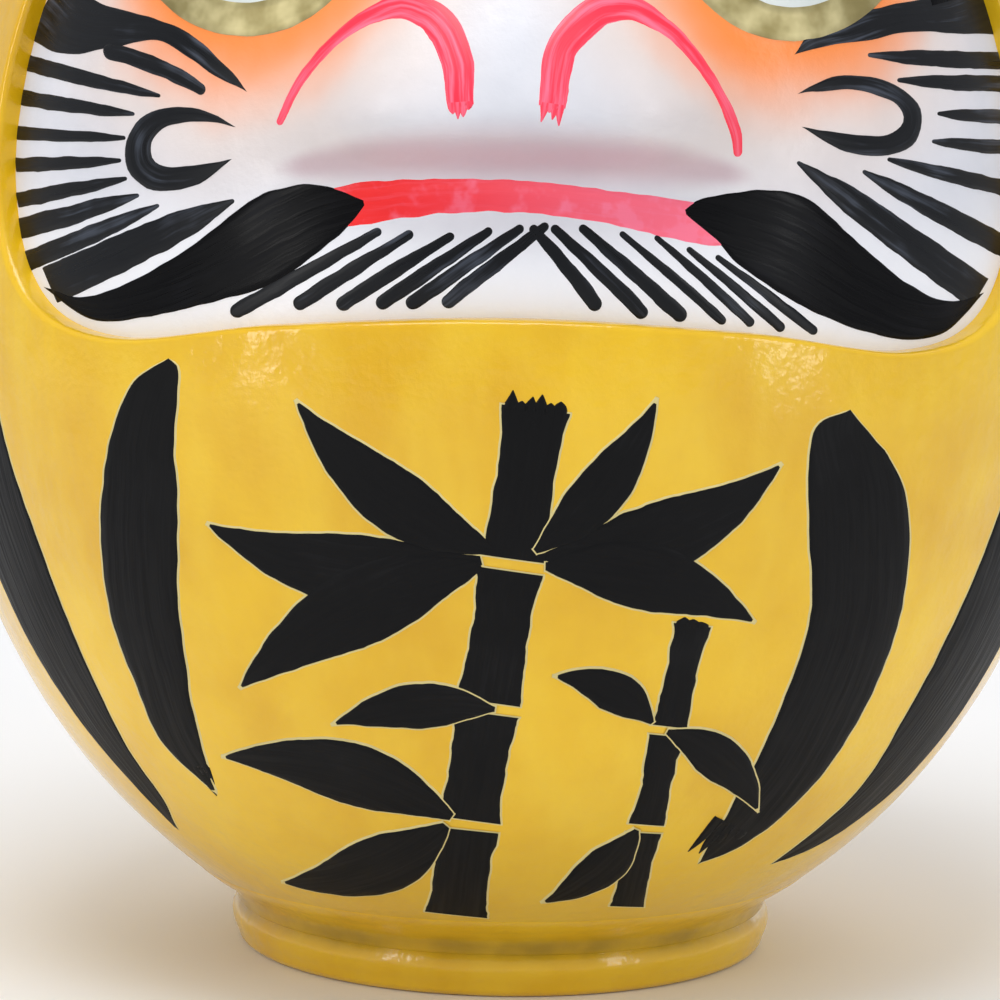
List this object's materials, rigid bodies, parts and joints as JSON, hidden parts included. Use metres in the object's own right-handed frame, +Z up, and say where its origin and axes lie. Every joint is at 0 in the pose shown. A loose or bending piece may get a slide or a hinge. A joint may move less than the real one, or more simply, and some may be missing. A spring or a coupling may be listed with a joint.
{
  "type": "daruma doll",
  "caption": "Round, hollow moulded-paper doll with a sunken face panel, weighted by a clay foot so that it stands upright.",
  "frame": {"origin": "centre of the plane that the doll stands on", "axes": "+Z up, the face looks along -Y, +X is to the viewer's right"},
  "size_m": [0.242, 0.2474, 0.3024],
  "materials": {
    "robe_paint": "gloss lacquer over moulded paper",
    "foot_paint": "gloss lacquer over clay",
    "strip_paint": "gloss lacquer over pasted paper",
    "plain_paper": "bare fibrous paper"
  },
  "bodies": {
    "root": {"body_shell": "robe_paint", "foot_weight": "foot_paint", "foot_joint_strip": "strip_paint", "base_paper": "plain_paper"}
  },
  "joints": []
}
